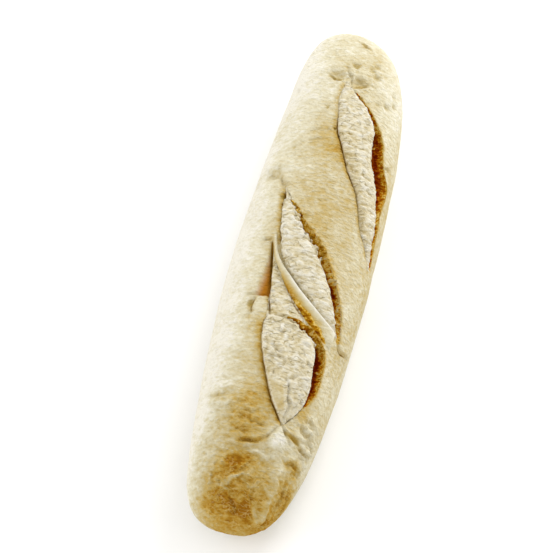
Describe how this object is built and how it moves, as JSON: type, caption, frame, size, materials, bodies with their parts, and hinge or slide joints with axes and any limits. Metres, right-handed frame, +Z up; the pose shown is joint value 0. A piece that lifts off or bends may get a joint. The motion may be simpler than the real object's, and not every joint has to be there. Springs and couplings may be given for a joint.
{
  "type": "sub roll",
  "caption": "Long scored sub roll with a pale soft crust, round ends, swollen open scores across its crown and a flat base.",
  "frame": {"origin": "middle of the base, on the surface that the roll rests on", "axes": "+Y along the roll from its browner near end to its far end, +Z up through the scored crown, +X to the roll's right side"},
  "size_m": [0.0676, 0.27, 0.0506],
  "materials": {
    "crust": "matte, floury"
  },
  "bodies": {
    "root": {"sub_roll": "crust"}
  },
  "joints": []
}
